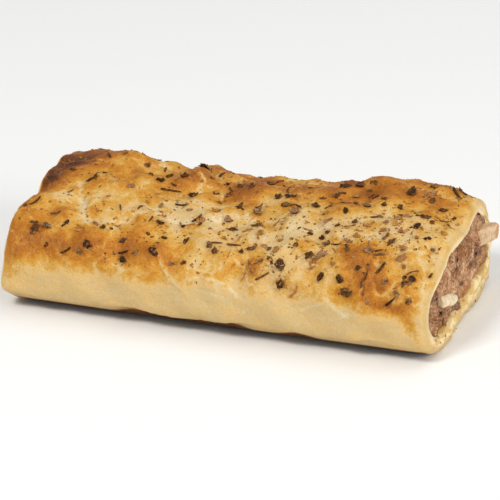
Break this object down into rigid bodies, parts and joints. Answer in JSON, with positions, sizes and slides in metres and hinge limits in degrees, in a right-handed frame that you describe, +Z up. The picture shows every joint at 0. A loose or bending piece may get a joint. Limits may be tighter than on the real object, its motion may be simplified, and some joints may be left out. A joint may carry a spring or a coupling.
{
  "type": "sausage roll",
  "caption": "Large baked sausage roll: a low, broad log of minced sausage meat wrapped in golden puff pastry, cut square at both ends and strewn with dried herbs.",
  "frame": {"origin": "middle of the bounding box at the base, on the surface that the roll rests on", "axes": "+X along the roll, towards the cut end with the slice of onion; +Z up; -Y is the front"},
  "size_m": [0.131, 0.0689, 0.0342],
  "materials": {
    "pastry": "baked puff pastry: pale cream dough, golden to brown on the high places, satin",
    "filling": "cooked minced sausage meat, pinkish brown, moist and crumbly"
  },
  "bodies": {
    "root": {"pastry": "pastry", "filling": "filling"}
  },
  "joints": []
}
